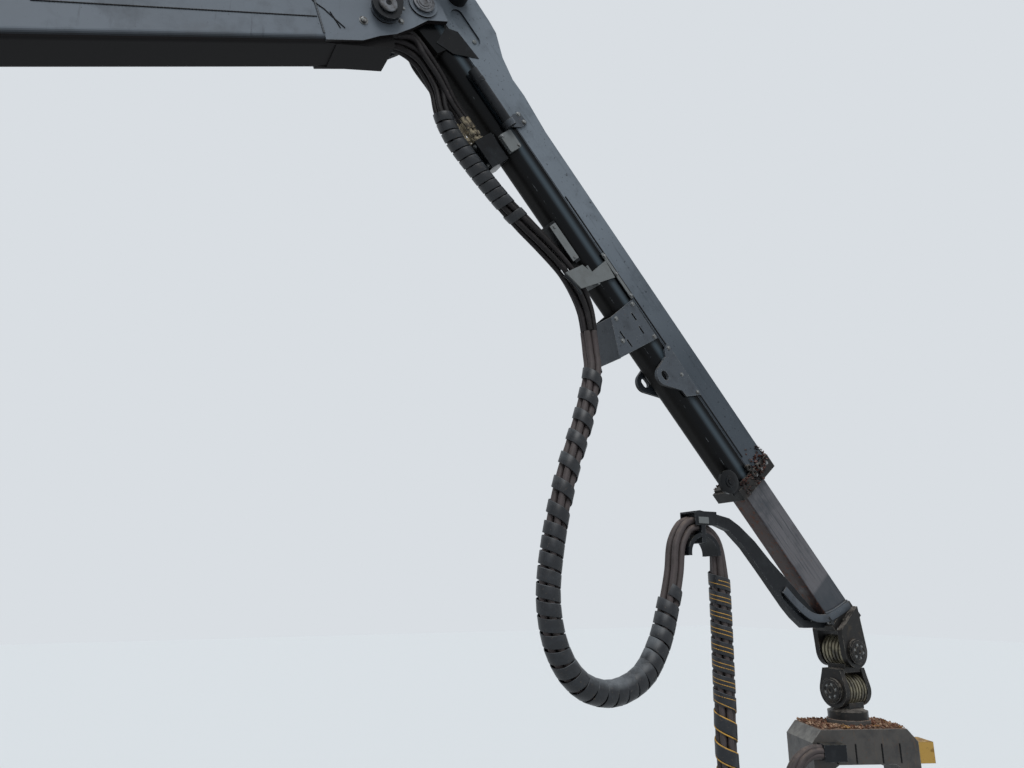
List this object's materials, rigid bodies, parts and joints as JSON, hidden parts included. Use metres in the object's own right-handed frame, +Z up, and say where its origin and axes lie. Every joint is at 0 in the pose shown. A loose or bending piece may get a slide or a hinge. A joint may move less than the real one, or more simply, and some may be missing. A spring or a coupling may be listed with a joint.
{
  "type": "forestry harvester crane",
  "caption": "Knuckle-boom crane of a forestry harvester: slewing base, pillar, main boom, folding jib with telescope, braked link, rotator and head hanger.",
  "frame": {"origin": "centre of the base flange's underside, on the slewing axis", "axes": "+X forward along the crane, +Y to its left, +Z up the slewing axis"},
  "size_m": [7.7264, 0.6445, 4.7206],
  "materials": {
    "black_paint": "satin black paint, dusty and scratched",
    "boom_paint": "satin blue-black paint",
    "pin_steel": "zinc-plated steel, worn",
    "rod_chrome": "hard chrome",
    "beam_steel": "bare steel worn by the slide pads",
    "cast_black": "cast iron, greasy",
    "disc_steel": "oiled brake discs",
    "grey_plate": "light grey paint",
    "hanger_grey": "dark grey paint",
    "guard_yellow": "yellow paint, chipped",
    "fitting_zinc": "yellow zinc plating",
    "hose_rubber": "black rubber under a plastic spiral wrap",
    "pad_nylon": "slide nylon"
  },
  "bodies": {
    "crane_base": {"base_flange": "black_paint", "slew_housing": "black_paint", "slew_cylinders": "black_paint"},
    "pillar": {"pillar": "black_paint", "pillar_pins": "pin_steel"},
    "main_boom": {"main_boom": "boom_paint", "boom_pins": "pin_steel"},
    "lift_tube": {"lift_cylinder_tube": "black_paint"},
    "lift_rod": {"lift_cylinder_rod": "rod_chrome"},
    "jib_tube": {"jib_cylinder_tube": "black_paint"},
    "jib_rod": {"jib_cylinder_rod": "rod_chrome"},
    "rocker": {"rocker": "cast_black"},
    "rocker_link": {"rocker_link": "cast_black"},
    "jib": {"jib_box": "boom_paint", "root_guards": "black_paint", "feed_tube": "black_paint", "tube_clamp": "cast_black", "cover_plate": "grey_plate", "valve_block": "cast_black", "valve_fittings": "fitting_zinc", "cover_box": "black_paint", "hose_saddle_plate": "grey_plate", "slotted_bracket": "black_paint", "lifting_eyes": "cast_black", "end_collar": "cast_black", "slide_pads": "pad_nylon", "nose_hoses": "hose_rubber", "loop_hoses": "hose_rubber"},
    "telescope": {"inner_beam": "beam_steel", "beam_shoe": "pad_nylon", "tip_fork": "cast_black", "hose_arm": "black_paint", "hose_arch": "black_paint", "pitch_pin": "pin_steel", "drop_hoses": "hose_rubber"},
    "link": {"link_body": "cast_black", "pitch_discs": "disc_steel", "roll_pin": "pin_steel"},
    "rotator": {"rotator_body": "cast_black", "roll_discs": "disc_steel"},
    "hanger": {"rotator_flange": "hanger_grey", "hanger_frame": "hanger_grey", "hanger_end_guard": "guard_yellow", "hose_bulkhead": "hanger_grey"}
  },
  "joints": [
    {"name": "slew", "type": "hinge", "parent": "crane_base", "child": "pillar", "pos_m": [0, 0, 0.361], "axis": [0, 0, 1], "range_deg": [-110, 110]},
    {"name": "boom_lift", "type": "hinge", "parent": "pillar", "child": "main_boom", "pos_m": [0, 0, 1.804], "axis": [0, -1, 0], "range_deg": [-15, 40]},
    {"name": "jib_fold", "type": "hinge", "parent": "main_boom", "child": "jib", "pos_m": [3.95418, 0, 3.2198], "axis": [0, 1, 0], "range_deg": [-45, 50], "deforming": ["nose_hoses"]},
    {"name": "telescope", "type": "slide", "parent": "jib", "child": "telescope", "axis": [0.6508, 0, -0.7593], "range_m": [-0.45, 0.9], "deforming": ["loop_hoses"]},
    {"name": "link_pitch", "type": "hinge", "parent": "telescope", "child": "link", "pos_m": [6.90045, 0, -0.2607], "axis": [0, 1, 0], "range_deg": [-60, 75], "deforming": ["drop_hoses"]},
    {"name": "link_roll", "type": "hinge", "parent": "link", "child": "rotator", "pos_m": [6.90045, 0, -0.4907], "axis": [1, 0, 0], "range_deg": [-30, 30]},
    {"name": "rotator_spin", "type": "hinge", "parent": "rotator", "child": "hanger", "pos_m": [6.90045, 0, -0.6527], "axis": [0, 0, 1], "continuous": true},
    {"name": "lift_tube_swing", "type": "hinge", "parent": "pillar", "child": "lift_tube", "pos_m": [0.34, 0, 0.56], "axis": [0, -1, 0], "range_deg": [-7.37, 17.98]},
    {"name": "lift_rod_stroke", "type": "slide", "parent": "lift_tube", "child": "lift_rod", "axis": [0.533, 0, 0.8461], "range_m": [-0.22744, 0.59817]},
    {"name": "rocker_swing", "type": "hinge", "parent": "main_boom", "child": "rocker", "pos_m": [3.74158, 0, 3.09269], "axis": [0, 1, 0], "range_deg": [-25.25, 27.95]},
    {"name": "link_swing", "type": "hinge", "parent": "rocker", "child": "rocker_link", "pos_m": [3.76857, 0, 3.45168], "axis": [0, 1, 0], "range_deg": [-2, 1.9]},
    {"name": "jib_tube_swing", "type": "hinge", "parent": "main_boom", "child": "jib_tube", "pos_m": [2.22558, 0, 3.0045], "axis": [0, 1, 0], "range_deg": [-2.69, 2.88]},
    {"name": "jib_rod_stroke", "type": "slide", "parent": "jib_tube", "child": "jib_rod", "axis": [0.9605, 0, 0.2784], "range_m": [-0.14618, 0.16187]}
  ],
  "couplings": [
    {"joint": "lift_tube_swing", "follows": "boom_lift", "ratio": 0.42458},
    {"joint": "lift_rod_stroke", "follows": "boom_lift", "m_per_rad": 0.84965},
    {"joint": "rocker_swing", "follows": "jib_fold", "ratio": 0.5389},
    {"joint": "link_swing", "follows": "jib_fold", "ratio": -0.0201},
    {"joint": "jib_tube_swing", "follows": "jib_fold", "ratio": 0.0375},
    {"joint": "jib_rod_stroke", "follows": "jib_fold", "m_per_rad": 0.17976}
  ]
}
